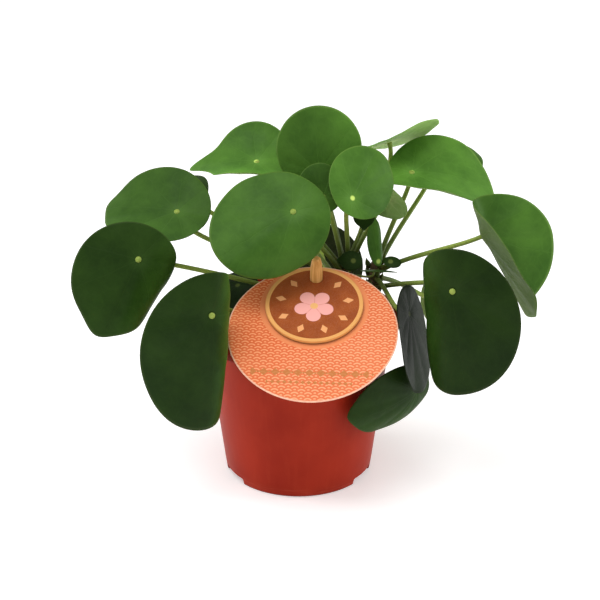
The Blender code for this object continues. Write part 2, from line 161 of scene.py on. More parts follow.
Leaf = namedtuple(
    "Leaf",
    "name hub turn lift roll length width seat left right droop crease point stem height"
    " rise arrive hang",
    defaults=(8, 0.25, 0),
)
LEAVES = (
    Leaf("leaf_far_left", (-90, -34, 148), 0, 22, 30, 67, 65, 0.30, 10, 95, 15, 1, 4, "stem", 0.48),
    Leaf("leaf_left", (-70, 0, 164), -8, 62, 104, 65, 59, 0.30, -10, -15, 25, 1, 2, "stem", 0.58),
    Leaf("leaf_top_left", (-25, 48, 177), 0, 70, 98, 50, 56, 0.45, -40, -50, 20, 1, 16, "stem", 0.9),
    Leaf("leaf_front", (-3, -18, 171), -4, 48, 60, 72, 66, 0.29, 10, 60, 12, 1, 0, "stem", 0.86),
    Leaf("leaf_top", (12, 30, 176), 0, 12, 180, 51, 51, 0.22, 10, 10, 10, 1, 0, "stem", 0.98),
    Leaf("leaf_inner", (14, 4, 171), -10, 20, 160, 30, 28, 0.33, 20, 20, 10, 1, 0, "stem", 0.94),
    Leaf("leaf_centre_right", (31, -8, 175), 32, 34, 232, 48, 42, 0.22, 15, 15, 10, 1, 0, "stem", 1.0),
    Leaf("leaf_turned_away", (51, 25, 163), 155, 30, 0, 31, 29, 0.4, 20, 20, 10, 1, 0, "stem", 0.97),
    Leaf("leaf_top_right", (54, 60, 185), 214, 58, 150, 50, 46, 0.33, 10, 10, -10, 1, 0, "stem", 0.92),
    Leaf("leaf_right_upper", (67, 38, 174), 0, 68, -85, 67, 58, 0.23, -50, -25, 35, 1, 2, "shoot", 0.95),
    Leaf("leaf_right_back", (85, 66, 176), 0, 75, -60, 42, 40, 0.33, 20, 20, 20, 1, 0, "shoot", 0.87),
    Leaf("leaf_far_right", (108, 0, 149), 96, 25, 3, 78, 88, 0.27, -15, -75, -5, 0.3, 0, "shoot", 0.87),
    Leaf(
        "leaf_low_right", (86, -45, 133), -20, 10, -6, 88, 78, 0.28, 106, 25, 15, 1, 0, "shoot", 0.68,
        arrive=0.45,
    ),
    Leaf("leaf_beside_card", (64.5, -20, 108), 65, 15, 5, 65, 46, 0.26, -8, 10, 5, 1, 0, "shoot", 0.8),
    Leaf(
        "leaf_front_low", (70, -21, 59), 50, 2, 89, 63, 42, 0.20, 5, 42, 25, 1, 3, "shoot", 0.45,
        rise=55, arrive=1.1, hang=1,
    ),
    Leaf(
        "leaf_low_left", (-47, -71, 130), 25, 6, 6, 96, 80, 0.26, 30, 88, 15, 0.6, 0, "stem", 0.5,
        rise=-25, arrive=0.6,
    ),
    Leaf("leaf_behind_left", (-66, 26, 164), -60, 50, 20, 46, 42, 0.33, 25, 25, 20, 1, 3, "stem", 0.76),
    Leaf("leaf_back_left", (-36, 10, 113), -30, 66, 20, 40, 36, 0.30, 20, 20, 10, 1, 0, "stem", 0.52),
    Leaf("leaf_back", (-8, 96, 132), 180, 30, 0, 66, 60, 0.30, 30, 30, 20, 1, 0, "stem", 0.70),
    Leaf("leaf_back_low", (14, 90, 104), 180, 10, 0, 60, 56, 0.30, 30, 30, 10, 1, 0, "stem", 0.5),
    Leaf("leaf_back_right", (95, 62, 82), 125, 15, 0, 56, 52, 0.30, 30, 30, 20, 1, 0, "shoot", 0.78),
)
YOUNG_LEAVES = (
    Leaf("young_leaf_pointed", (38, 8, 159), 0, 45, 0, 14, 13, 0.4, 10, 10, 10, 1, 2, "stem", 0.99),
    Leaf("young_leaf_folded", (47, 10, 128), 30, 10, 180, 28, 12, 0.1, 60, 60, 5, 1, 2, "shoot", 1.0),
    Leaf("young_leaf_oval", (54, 10, 128), 0, 55, -80, 11, 8, 0.4, 10, 10, 10, 1, 0, "shoot", 0.93),
    Leaf("young_leaf_flat", (44, 0, 127), 180, 70, 90, 20, 12, 0.4, 10, 10, 10, 1, 2, "stem", 0.84),
    Leaf("young_leaf_dark", (32, 4, 131), -10, 30, 90, 14, 12, 0.4, 10, 10, 10, 1, 2, "stem", 0.8),
)
# Painted light and shade: how much lighter or darker each leaf's green is painted for the light that
# falls on it, where it isn't 1
LEAF_LIGHT_AND_SHADE = {
    "leaf_beside_card": 0.1, "leaf_front_low": 0.3, "leaf_low_right": 0.24, "leaf_low_left": 0.26,
    "leaf_far_left": 0.36, "leaf_inner": 0.75, "young_leaf_dark": 0.25, "young_leaf_oval": 0.35,
    "young_leaf_flat": 0.5, "young_leaf_pointed": 0.3, "leaf_behind_left": 0.3, "leaf_left": 0.75,
    "leaf_top": 1.1, "leaf_far_right": 0.85, "leaf_turned_away": 1.5, "leaf_top_right": 2.2,
    "leaf_top_left": 1.35, "leaf_right_upper": 1.6, "leaf_centre_right": 1.25,
    "young_leaf_folded": 1.4, "leaf_back": 0.3, "leaf_back_low": 0.15, "leaf_back_left": 0.15,
}
# Painted light and shade: how light a blade is painted at its left and right side, where that isn't the
# same
SIDE_LIGHT_AND_SHADE = {
    "leaf_low_right": (0.6, 0.24), "leaf_low_left": (0.3, 1.6), "leaf_far_left": (0.33, 0.8),
    "leaf_left": (0.7, 0.9), "leaf_front_low": (0.25, 0.45), "leaf_far_right": (0.85, 1.3),
    "leaf_top": (1.5, 1.0), "leaf_top_left": (1.2, 2.0),
}


class Paint:
    """A node material, with short names for the nodes that it needs."""

    def __init__(self, name, local=False):
        self.material = bpy.data.materials.new(name)
        self.material.use_nodes = True
        self.nodes = self.material.node_tree.nodes
        self.links = self.material.node_tree.links
        self.shader = self.nodes["Principled BSDF"]
        self.coordinates = self.attribute("local").outputs["Vector"] if local else None

    def node(self, kind, inputs=(), **settings):
        made = self.nodes.new("ShaderNode" + kind)
        for key, value in settings.items():
            setattr(made, key, value)
        for key, value in dict(inputs).items():
            self.put(made.inputs[key], value)
        return made

    def put(self, socket, value):
        if isinstance(value, bpy.types.NodeSocket):
            self.links.new(value, socket)
        elif isinstance(value, tuple) and socket.type == "RGBA":
            socket.default_value = (*value, 1)
        else:
            socket.default_value = value

    def set(self, **inputs):
        for key, value in inputs.items():
            self.put(self.shader.inputs[key.replace("_", " ")], value)

    def math(self, operation, *values):
        return self.node("Math", enumerate(values), operation=operation).outputs[0]

    def times(self, first, second):
        return self.math("MULTIPLY", first, second)

    def minus(self, first, second):
        return self.math("SUBTRACT", first, second)

    def linear(self, value, scale, start):
        return self.math("MULTIPLY_ADD", value, scale, start)

    def step(self, value, low, high, start=0.0, end=1.0):
        """A smooth step from start to end while the value goes from low to high."""
        values = {"Value": value, "From Min": low, "From Max": high, "To Min": start, "To Max": end}
        return self.node("MapRange", values, interpolation_type="SMOOTHSTEP").outputs[0]

    def mix(self, share, low, high, blend="MIX"):
        values = {"Factor": share, MIX_COLOURS[0]: low, MIX_COLOURS[1]: high}
        made = self.node("Mix", values, data_type="RGBA", blend_type=blend)
        return made.outputs[MIX_COLOUR_OUT]

    def length(self, x, y):
        return self.math("SQRT", self.math("ADD", *(self.times(v, v) for v in (x, y))))

    def joined(self, x=0.0, y=0.0, z=0.0):
        return self.node("CombineXYZ", {0: x, 1: y, 2: z}).outputs[0]

    def moved(self, vector, shift):
        return self.node("VectorMath", {0: vector, 1: shift}, operation="ADD").outputs[0]

    def finish(self, colour, rough, normal, mirror=0.5):
        self.set(Base_Color=colour, Roughness=rough, Normal=normal, Specular_IOR_Level=mirror)
        return self

    def attribute(self, name):
        return self.node("Attribute", attribute_name=name)

    def place(self):
        """The point in metres, in the frame, or on the piece before it was put in place."""
        if self.coordinates is None:
            self.coordinates = self.node("TexCoord").outputs["Object"]
        return self.coordinates

    def scaled(self, vector, *scale):
        values = {0: vector, 1: scale if len(scale) == 3 else scale * 3}
        return self.node("VectorMath", values, operation="MULTIPLY").outputs[0]

    def noise(self, vector, scale, detail=3.0, roughness=0.5, distortion=0.0):
        values = {
            "Vector": vector, "Scale": scale, "Detail": detail, "Roughness": roughness,
            "Distortion": distortion,
        }
        return self.node("TexNoise", values).outputs[0]

    def cells(self, vector, scale, feature="DISTANCE_TO_EDGE"):
        values = {"Vector": vector, "Scale": scale}
        return self.node("TexVoronoi", values, feature=feature).outputs["Distance"]

    def split(self, vector):
        return self.node("SeparateXYZ", {0: vector}).outputs

    def bump(self, height, depth, strength=1.0, below=None):
        values = {"Height": height, "Distance": depth, "Strength": strength}
        if below is not None:
            values["Normal"] = below
        return self.node("Bump", values).outputs[0]


def leaf_paint(name, deep, light, vein, vein_share, roughness, vein_height):
    """A blade's green: veins that spread from the stalk, a fine net between them, a pale margin.

    The mark "flat" holds a point's place on the flat blade, in mm from the stalk, and its share of
    the way from there to the margin. The mark "tone" holds painted light and shade, which darkens or
    lightens the green for the light that falls on the leaf.
    """
    paint = Paint(name)
    x, y, share = paint.split(paint.attribute("flat").outputs["Vector"])
    tone = paint.attribute("tone").outputs["Fac"]
    reach = paint.length(x, y)
    plan = paint.moved(paint.joined(x, y), paint.joined(z=tone))
    # Main veins
    drift = paint.noise(plan, 0.06, 2.0)
    angle = paint.times(paint.math("ARCTAN2", x, y), VEINS / 2)
    swing = paint.math("SINE", paint.linear(drift, 0.8, angle))
    spoke = paint.times(paint.math("ABSOLUTE", swing), reach)
    width = paint.step(share, 0.0, 1.0, 2.6, 1.0)
    main = paint.minus(1.0, paint.step(paint.math("DIVIDE", spoke, width), 0.0, 1.0))
    # Net of small veins
    sway = paint.node("TexNoise", {"Vector": plan, "Scale": 0.12, "Detail": 2.0}).outputs["Color"]
    warped = paint.moved(plan, paint.scaled(sway, 5.0))
    net = paint.minus(1.0, paint.step(paint.cells(warped, 0.16), 0.0, 0.16))
    fine = paint.minus(1.0, paint.step(paint.cells(warped, 0.75), 0.0, 0.25))
    # Colour
    blotch = paint.noise(plan, 0.035, 5.0, 0.55)
    grain = paint.noise(plan, 1.6, 3.0, 0.6)
    colour = paint.mix(paint.step(blotch, 0.3, 0.7), deep, light)
    colour = paint.mix(paint.times(grain, 0.3), colour, deep)
    main_share = paint.times(main, vein_share)
    net_share = paint.times(net, vein_share * 0.4)
    colour = paint.mix(paint.math("MAXIMUM", main_share, net_share), colour, vein)
    colour = paint.mix(paint.step(reach, 1.0, 9.0, 0.45, 0.0), colour, vein)
    colour = paint.mix(paint.step(reach, 0.9, 1.9, 1.0, 0.0), colour, (0.42, 0.55, 0.12))
    colour = paint.mix(paint.step(share, 0.965, 0.99, 0.0, 0.35), colour, (0.12, 0.2, 0.035))
    # Painted light and shade: the green is darkened or lightened by the mark "tone"
    colour = paint.mix(1.0, colour, paint.joined(tone, tone, tone), "MULTIPLY")
    # Surface
    rough = paint.linear(paint.noise(plan, 0.25, 4.0), 0.16, roughness - 0.08)
    small = paint.times(net, vein_height * 0.45)
    height = paint.linear(main, vein_height, small)
    height = paint.linear(fine, vein_height * 0.12, height)
    height = paint.linear(grain, 0.1, height)
    return paint.finish(colour, rough, paint.bump(height, 0.25 * MM, 0.6), MATT)


def stalk_paint():
    paint = Paint("stalk_skin")
    along = paint.attribute("along").outputs["Fac"]
    tone = paint.attribute("tone").outputs["Fac"]
    place = paint.place()
    streak = paint.noise(place, 420.0, 4.0, 0.6)
    colour = paint.mix(paint.step(along, 0.0, 0.7), (0.055, 0.08, 0.014), (0.27, 0.35, 0.065))
    colour = paint.mix(paint.step(streak, 0.35, 0.75, 0.0, 0.5), colour, (0.12, 0.2, 0.03))
    colour = paint.mix(paint.step(along, 0.0, 0.12, 0.7, 0.0), colour, (0.09, 0.05, 0.018))
    speck = paint.step(paint.cells(place, 900.0, "F1"), 0.1, 0.3, 0.25, 0.0)
    colour = paint.mix(speck, colour, (0.4, 0.42, 0.16))
    colour = paint.mix(1.0, colour, paint.joined(tone, tone, tone), "MULTIPLY")
    rough = paint.linear(streak, 0.2, 0.34)
    return paint.finish(colour, rough, paint.bump(streak, 0.15 * MM, 0.6), SATIN)


def bark_paint():
    paint = Paint("stem_bark_skin")
    place = paint.place()
    rough_noise = paint.noise(place, 260.0, 6.0, 0.65)
    rings = paint.noise(paint.scaled(place, 60.0, 60.0, 520.0), 1.0, 4.0, 0.6)
    colour = paint.mix(paint.step(rough_noise, 0.3, 0.7), (0.045, 0.028, 0.014), (0.17, 0.11, 0.05))
    colour = paint.mix(paint.step(rings, 0.5, 0.75, 0.0, 0.5), colour, (0.09, 0.11, 0.03))
    height = paint.math("ADD", rough_noise, rings)
    normal = paint.bump(height, 0.5 * MM, 0.8)
    return paint.finish(colour, paint.step(rough_noise, 0.2, 0.8, 0.7, 0.92), normal)


def soil_paint():
    paint = Paint("compost_skin")
    place = paint.place()
    coarse = paint.noise(place, 180.0, 6.0, 0.7)
    fine = paint.noise(place, 900.0, 5.0, 0.7)
    fibre = paint.cells(paint.scaled(place, 420.0, 150.0, 300.0), 1.0)
    colour = paint.mix(paint.step(coarse, 0.32, 0.68), (0.012, 0.007, 0.004), (0.055, 0.032, 0.018))
    colour = paint.mix(paint.step(fibre, 0.0, 0.05, 0.5, 0.0), colour, (0.11, 0.062, 0.03))
    colour = paint.mix(paint.step(fine, 0.66, 0.74, 0.0, 0.5), colour, (0.16, 0.11, 0.07))
    height = paint.linear(fine, 0.5, coarse)
    normal = paint.bump(height, 1.2 * MM, 1.0)
    return paint.finish(colour, paint.step(fine, 0.2, 0.8, 0.85, 1.0), normal)


def pot_paint():
    paint = Paint("moulded_terracotta_plastic")
    place = paint.place()
    height = paint.split(place)[2]
    cloud = paint.noise(place, 22.0, 4.0, 0.55)
    flow = paint.noise(paint.scaled(place, 260.0, 260.0, 9.0), 1.0, 3.0, 0.5)
    grain = paint.noise(place, 1500.0, 3.0, 0.6)
    scuff = paint.noise(paint.scaled(place, 60.0, 60.0, 900.0), 1.0, 5.0, 0.7)
    colour = paint.mix(paint.step(cloud, 0.3, 0.7), (0.25, 0.015, 0.005), (0.32, 0.023, 0.008))
    colour = paint.mix(paint.step(flow, 0.45, 0.7, 0.0, 0.2), colour, (0.36, 0.034, 0.012))
    near_foot = paint.step(height, 0.0, 9 * MM, 0.5, 0.0)
    foot_wear = paint.times(near_foot, paint.step(scuff, 0.5, 0.7))
    colour = paint.mix(foot_wear, colour, (0.45, 0.09, 0.05))
    lip = paint.step(height, POT_HEIGHT - 0.8 * MM, POT_HEIGHT, 0.0, 0.35)
    colour = paint.mix(lip, colour, (0.45, 0.07, 0.035))
    # Painted shade: a dark band round the foot's bottom edge, where it meets the floor
    colour = paint.mix(paint.step(height, 0.3 * MM, 1.2 * MM, 0.6, 0.0), colour, (0.08, 0.012, 0.006))
    rough = paint.linear(cloud, 0.14, 0.36)
    rough = paint.math("ADD", rough, paint.times(foot_wear, 0.2))
    lumps = paint.bump(flow, 0.12 * MM, 0.35)
    normal = paint.bump(grain, 0.05 * MM, 0.5, lumps)
    return paint.finish(colour, rough, normal, MATT)


def waves(paint, x, y):
    """Overlapping scales of rings: how far a point lies from the centre of the one that shows."""
    pitch = WAVE_RADIUS / 2
    first = paint.math("CEIL", paint.math("DIVIDE", paint.minus(y, WAVE_RADIUS), pitch))
    shown = None
    for behind in reversed(range(WAVE_ROWS)):
        row = paint.math("ADD", first, float(behind))
        shifted = paint.math("ADD", x, paint.times(row, WAVE_RADIUS))
        across = paint.math("WRAP", shifted, -WAVE_RADIUS, WAVE_RADIUS)
        far = paint.length(across, paint.minus(y, paint.times(row, pitch)))
        if shown is None:
            shown = far
        else:
            inside = paint.math("LESS_THAN", far, WAVE_RADIUS)
            values = {"Factor": inside, MIX_FLOATS[0]: shown, MIX_FLOATS[1]: far}
            shown = paint.node("Mix", values, data_type="FLOAT").outputs[0]
    return paint.math("DIVIDE", shown, WAVE_RADIUS)


def lozenge(paint, x, y, half_width, half_height):
    """One where a point lies in a lozenge round the origin, and nought elsewhere."""
    wide = paint.math("DIVIDE", paint.math("ABSOLUTE", x), half_width)
    high = paint.math("DIVIDE", paint.math("ABSOLUTE", y), half_height)
    return paint.math("LESS_THAN", paint.math("ADD", wide, high), 1.0)


def lozenges(paint, x, y, pitch, half_width, half_height, reach):
    """A row of lozenges along x, out to reach on each side."""
    inside = lozenge(paint, paint.math("WRAP", x, -pitch / 2, pitch / 2), y, half_width, half_height)
    return paint.times(inside, paint.math("LESS_THAN", paint.math("ABSOLUTE", x), reach))


def card_paint():
    """Red waves, plain round the disc, with rows of gold lozenges below it and a pale rim."""
    paint = Paint("printed_card_face", local=True)
    place = paint.scaled(paint.place(), 1 / MM)
    x, down, _ = paint.split(place)
    ring = waves(paint, x, paint.times(down, -1.0))
    phase = paint.math("FRACT", paint.linear(ring, float(WAVE_RINGS), 0.25))
    band = paint.math("ABSOLUTE", paint.minus(phase, 0.5))
    line = paint.step(band, 0.14, 0.26, 0.75, 0.0)
    cloud = paint.noise(place, 0.03, 3.0)
    side = paint.step(paint.linear(down, -0.6, x), -30.0, 55.0)
    colour = paint.mix(side, (0.73, 0.16, 0.055), (0.7, 0.12, 0.028))
    colour = paint.mix(paint.step(cloud, 0.35, 0.7, 0.0, 0.4), colour, (0.78, 0.22, 0.09))
    cream = paint.mix(side, (0.93, 0.47, 0.25), (0.92, 0.4, 0.17))
    disc_centre = (0, -(CARD_RADIUS - DISC_RADIUS - DISC_FROM_TOP) / MM, 0)
    values = {0: paint.joined(x, down), 1: disc_centre}
    from_disc = paint.node("VectorMath", values, operation="DISTANCE").outputs["Value"]
    plain = paint.math("LESS_THAN", from_disc, DISC_RADIUS / MM + PLAIN_BAND)
    line = paint.times(line, paint.minus(1.0, plain))
    colour = paint.mix(line, colour, cream)
    colour = paint.mix(plain, colour, (0.8, 0.26, 0.1))
    gold = None
    for low, shift, *sizes in LOZENGE_ROWS:
        across, up = paint.math("ADD", x, shift), paint.minus(down, low)
        row = lozenges(paint, across, up, *sizes)
        gold = paint.math("MAXIMUM", gold, row) if gold else row
    colour = paint.mix(paint.times(gold, 0.85), colour, (0.5, 0.18, 0.045))
    edge = CARD_RADIUS / MM
    rim = paint.step(paint.length(x, down), edge - 1.0, edge - 0.4, 0.0, 0.6)
    colour = paint.mix(rim, colour, (0.92, 0.66, 0.5))
    paper = paint.noise(place, 2.6, 4.0, 0.65)
    colour = paint.mix(paint.step(paper, 0.4, 0.8, 0.0, 0.1), colour, (0.95, 0.6, 0.42))
    rough = paint.linear(paper, 0.16, 0.44)
    return paint.finish(colour, rough, paint.bump(paper, 0.05 * MM, 0.5), MATT)


def paper_paint():
    """The bare back and cut edge of the card."""
    paint = Paint("bare_card", local=True)
    place = paint.place()
    fibre = paint.noise(paint.scaled(place, 900.0, 2600.0, 900.0), 1.0, 4.0, 0.65)
    cloud = paint.noise(place, 90.0, 3.0)
    colour = paint.mix(paint.step(fibre, 0.3, 0.7), (0.74, 0.66, 0.55), (0.86, 0.8, 0.7))
    colour = paint.mix(paint.step(cloud, 0.4, 0.7, 0.0, 0.3), colour, (0.8, 0.72, 0.6))
    rough = paint.linear(fibre, 0.15, 0.7)
    return paint.finish(colour, rough, paint.bump(fibre, 0.06 * MM, 0.6))


def disc_paint():
    """Brown card with a pale gold border, a pink blossom and a ring of small lozenges."""
    paint = Paint("printed_disc_face", local=True)
    place = paint.scaled(paint.place(), 1 / MM)
    x, down, tall = paint.split(place)
    reach = paint.length(x, down)
    cloud = paint.noise(place, 0.12, 4.0)
    paper = paint.noise(place, 3.0, 4.0, 0.65)
    colour = paint.mix(paint.step(cloud, 0.3, 0.7), (0.28, 0.055, 0.009), (0.35, 0.078, 0.014))
    # Lozenges, each turned outwards
    turn = tau / DISC_LOZENGES
    angle = paint.math("ADD", paint.math("ARCTAN2", x, down), turn / 2)
    swung = paint.times(paint.math("WRAP", angle, -turn / 2, turn / 2), DISC_LOZENGE_RADIUS)
    out = paint.minus(reach, DISC_LOZENGE_RADIUS)
    colour = paint.mix(lozenge(paint, swung, out, 2.1, 3.3), colour, (0.8, 0.36, 0.14))
    # Blossom
    low = paint.minus(down, BLOSSOM_DOWN)
    from_heart = paint.length(x, low)
    heart_angle = paint.times(paint.math("ARCTAN2", x, low), PETALS / 2)
    lobe = paint.math("ABSOLUTE", paint.math("COSINE", heart_angle))
    edge = paint.linear(paint.math("POWER", lobe, 0.6), 5.5, 6.0)
    petal = paint.math("LESS_THAN", from_heart, edge)
    colour = paint.mix(petal, colour, (0.88, 0.4, 0.36))
    between = paint.math("LESS_THAN", lobe, 0.16)
    fold = paint.times(between, paint.step(from_heart, 2.0, 6.0, 0.7, 0.25))
    colour = paint.mix(paint.times(fold, petal), colour, (0.66, 0.2, 0.17))
    colour = paint.mix(paint.math("LESS_THAN", from_heart, 2.2), colour, (0.85, 0.45, 0.16))
    # Border, painted shadow on the lower part of the wall where it meets the card, and paper
    border = paint.math("GREATER_THAN", reach, (DISC_RADIUS - DISC_BORDER) / MM)
    colour = paint.mix(border, colour, (0.76, 0.37, 0.11))
    # Painted shadow: the wall is darker near the card
    colour = paint.mix(paint.step(tall, 0.2, 1.3, 0.85, 0.0), colour, (0.1, 0.03, 0.012))
    colour = paint.mix(paint.step(paper, 0.4, 0.8, 0.0, 0.12), colour, (0.9, 0.6, 0.4))
    rough = paint.linear(paper, 0.16, 0.42)
    return paint.finish(colour, rough, paint.bump(paper, 0.05 * MM, 0.5), MATT)


def wood_paint():
    paint = Paint("turned_wood", local=True)
    place = paint.place()
    grain = paint.noise(paint.scaled(place, 700.0, 700.0, 28.0), 1.0, 5.0, 0.6, 0.4)
    pores = paint.noise(paint.scaled(place, 2600.0, 2600.0, 120.0), 1.0, 3.0, 0.6)
    colour = paint.mix(paint.step(grain, 0.3, 0.7), (0.52, 0.24, 0.055), (0.76, 0.42, 0.14))
    colour = paint.mix(paint.step(pores, 0.6, 0.75, 0.0, 0.5), colour, (0.22, 0.09, 0.025))
    rough = paint.linear(grain, 0.2, 0.46)
    height = paint.minus(grain, paint.times(pores, 0.6))
    return paint.finish(colour, rough, paint.bump(height, 0.12 * MM, 0.7), SATIN)


# Meshes and objects
def skin(name, rings, marks=None, finish_of=None):
    """A closed surface through rings of points, from one single point to another."""
    points, faces, finishes, starts = [], [], [], []
    for ring in rings:
        starts.append(len(points))
        points.extend(ring)
    for number in range(len(rings) - 1):
        here, there = starts[number], starts[number + 1]
        count, next_count = len(rings[number]), len(rings[number + 1])
        many = max(count, next_count)
        for i in range(many):
            j = (i + 1) % many
            if count == 1:
                faces.append((here, there + i, there + j))
            elif next_count == 1:
                faces.append((here + i, there, here + j))
            else:
                faces.append((here + i, there + i, there + j, here + j))
            finishes.append(finish_of(number) if finish_of else 0)
    mesh = bpy.data.meshes.new(name)
    mesh.from_pydata(points, [], faces)
    mesh.polygons.foreach_set("material_index", finishes)
    for mark, values in (marks or {}).items():
        if isinstance(values[0], Vector):
            layer = mesh.attributes.new(mark, "FLOAT_VECTOR", "POINT")
            layer.data.foreach_set("vector", [number for value in values for number in value])
        else:
            layer = mesh.attributes.new(mark, "FLOAT", "POINT")
            layer.data.foreach_set("value", values)
    mend_normals(mesh)
    return mesh


def mend_normals(mesh):
    bm = bmesh.new()
    bm.from_mesh(mesh)
    bmesh.ops.recalc_face_normals(bm, faces=bm.faces)
    bm.to_mesh(mesh)
    bm.free()
    mesh.shade_smooth()


def around(sides):
    """The angles of one turn."""
    return [tau * side / sides for side in range(sides)]


def at(angle, radius, height):
    return Vector((radius * sin(angle), radius * cos(angle), height))


def turned(name, profile, sides, wobble=None):
    """A surface turned about Z from (radius, height) points; the ends lie on the axis."""
    rings = [[Vector((0, 0, profile[0][1]))]]
    for radius, height in profile[1:-1]:
        rings.append(
            [at(a, radius + (wobble(a, height) if wobble else 0), height) for a in around(sides)]
        )
    rings.append([Vector((0, 0, profile[-1][1]))])
    return skin(name, rings)


def mesh_from(bm, name):
    mesh = bpy.data.meshes.new(name)
    bm.to_mesh(mesh)
    bm.free()
    mesh.shade_smooth()
    return mesh


def new_object(name, data, matrix=None):
    made = bpy.data.objects.new(name, data)
    bpy.context.scene.collection.objects.link(made)
    if matrix is not None:
        made.matrix_world = matrix
    return made


def add_piece(name, mesh, finishes, slot, *nodes):
    piece = new_object(name, mesh)
    for paint in finishes:
        mesh.materials.append(paint.material)
    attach(piece, "root")
    if nodes:
        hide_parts(*nodes)
    return piece


def settle(mesh, matrix):
    """Marks each point with its place on the piece for the paint, then puts the mesh in place."""
    layer = mesh.attributes.new("local", "FLOAT_VECTOR", "POINT")
    layer.data.foreach_set("vector", [number for vert in mesh.vertices for number in vert.co])
    mesh.transform(matrix)


def cut(thing, cutters):
    """Cuts each cutter out of the thing, and takes the cutters away."""
    for cutter in cutters:
        boolean = thing.modifiers.new(cutter.name, "BOOLEAN")
        boolean.object = cutter
        boolean.operation = "DIFFERENCE"
        boolean.solver = "EXACT"
    bpy.context.view_layer.update()
    graph = bpy.context.evaluated_depsgraph_get()
    mesh = bpy.data.meshes.new_from_object(
        thing.evaluated_get(graph), preserve_all_data_layers=True, depsgraph=graph
    )
    thing.modifiers.clear()
    thing.data = mesh
    for cutter in cutters:
        bpy.data.objects.remove(cutter)


def round_edges(mesh, degrees):
    mesh.shade_smooth()
    mesh.set_sharp_from_angle(angle=radians(degrees))


def arc(centre, radius, start, end, steps=5):
    """Points of a rounded corner of a profile, from one angle to another."""
    return [
        (
            centre[0] + radius * cos(radians(start + (end - start) * i / steps)),
            centre[1] + radius * sin(radians(start + (end - start) * i / steps)),
        )
        for i in range(steps + 1)
    ]


def along(direction):
    return direction.to_track_quat("Z", "Y").to_matrix().to_4x4()


def facing(turn, lift, roll=0):
    turn, lift, roll = (radians(v) for v in (turn, lift, roll))
    normal = Vector(
        (sin(turn) * cos(lift), -cos(turn) * cos(lift), sin(lift))
    )
    downhill = Vector(
        (sin(turn) * sin(lift), -cos(turn) * sin(lift), -cos(lift))
    )
    side = downhill.cross(normal)
    tip = downhill * cos(roll) + side * sin(roll)
    return Matrix((tip.cross(normal), tip, normal)).transposed().to_4x4()


# Pot
def wall_radius(height):
    return POT_BASE_RADIUS + height * tan(radians(POT_WALL_TAPER))


def rounded_box(name, size, centre, matrix):
    bm = bmesh.new()
    bmesh.ops.create_cube(bm, size=1)
    bmesh.ops.scale(bm, verts=bm.verts, vec=size)
    bmesh.ops.translate(bm, verts=bm.verts, vec=centre)
    bmesh.ops.bevel(
        bm, geom=bm.edges, offset=DRAIN_ROUNDING, segments=4, profile=0.5, affect="EDGES"
    )
    return new_object(name, mesh_from(bm, name), matrix)


def swung_out(angle, distance, height=0):
    """A place in front of the axis, turned about it by an angle in degrees."""
    return Matrix.Rotation(radians(angle), 4, "Z") @ Matrix.Translation((0, -distance, height))


def drain_box(number, angle, grow, height):
    size = (DRAIN_WIDTH + 2 * grow, 2 * (DRAIN_DEPTH + grow), height + 2 * THROUGH)
    centre = (0, 0, height / 2 - THROUGH)
    return rounded_box(f"drain_{number}", size, centre, swung_out(angle, POT_BASE_RADIUS))


def make_pot(paint):
    collar_low = POT_HEIGHT - COLLAR_HEIGHT
    collar_radius = POT_RIM_RADIUS - COLLAR_DRAFT
    lip, foot = POT_EDGE / 2, POT_EDGE
    step_low = collar_low - COLLAR_STEP
    step_radius = wall_radius(step_low)
    outside = [(0, 0)]
    outside += arc((POT_BASE_RADIUS - foot, foot), foot, -90, -POT_WALL_TAPER)
    heights = [step_low * i / WALL_STEPS for i in range(1, WALL_STEPS)]
    outside += [(wall_radius(height), height) for height in heights]
    outside += [(step_radius, step_low), (step_radius + COLLAR_EDGE, step_low + 0.2 * MM)]
    outside += arc((collar_radius - COLLAR_EDGE, collar_low + COLLAR_EDGE), COLLAR_EDGE, -60, 0, 3)
    outside += arc((POT_RIM_RADIUS - lip, POT_HEIGHT - lip), lip, 0, 90)
    outside += [(0, POT_HEIGHT)]
    inner_low, mouth = collar_low + POT_WALL, POT_RIM_RADIUS - POT_WALL
    inside = [
        (0, POT_FLOOR),
        (wall_radius(POT_FLOOR) - POT_WALL - foot, POT_FLOOR),
        (wall_radius(POT_FLOOR + foot) - POT_WALL, POT_FLOOR + foot),
        (wall_radius(inner_low) - POT_WALL, inner_low - COLLAR_STEP),
        (collar_radius - POT_WALL, inner_low),
        (mouth - 0.1 * MM, POT_HEIGHT - lip),
        (mouth + 0.2 * MM, POT_HEIGHT),
        (mouth + 0.2 * MM, POT_HEIGHT + foot),
        (0, POT_HEIGHT + foot),
    ]
    hollow = new_object("pot_hollow", turned("pot_hollow", inside, POT_SIDES))
    pockets = enumerate(DRAIN_ANGLES)
    cut(hollow, [drain_box(n, angle, POT_WALL, DRAIN_HEIGHT + POT_WALL) for n, angle in pockets])
    cutters = [hollow]
    inward = POT_BASE_RADIUS - DRAIN_DEPTH + DRAIN_HOLE_DEPTH / 2 + POT_WALL
    hole_size = (DRAIN_HOLE_WIDTH, DRAIN_HOLE_DEPTH, 2 * DRAIN_HEIGHT)
    for number, angle in enumerate(DRAIN_ANGLES):
        cutters.append(drain_box(number, angle, 0, DRAIN_HEIGHT))
        matrix = swung_out(angle, inward, DRAIN_HEIGHT)
        cutters.append(rounded_box(f"hole_{number}", hole_size, (0, 0, 0), matrix))
    pot = new_object("nursery_pot", turned("nursery_pot", outside, POT_SIDES))
    cut(pot, cutters)
    mesh = pot.data
    bpy.data.objects.remove(pot)
    round_edges(mesh, 40)
    return add_piece("nursery_pot", mesh, [paint], "terracotta_plastic", "pot")


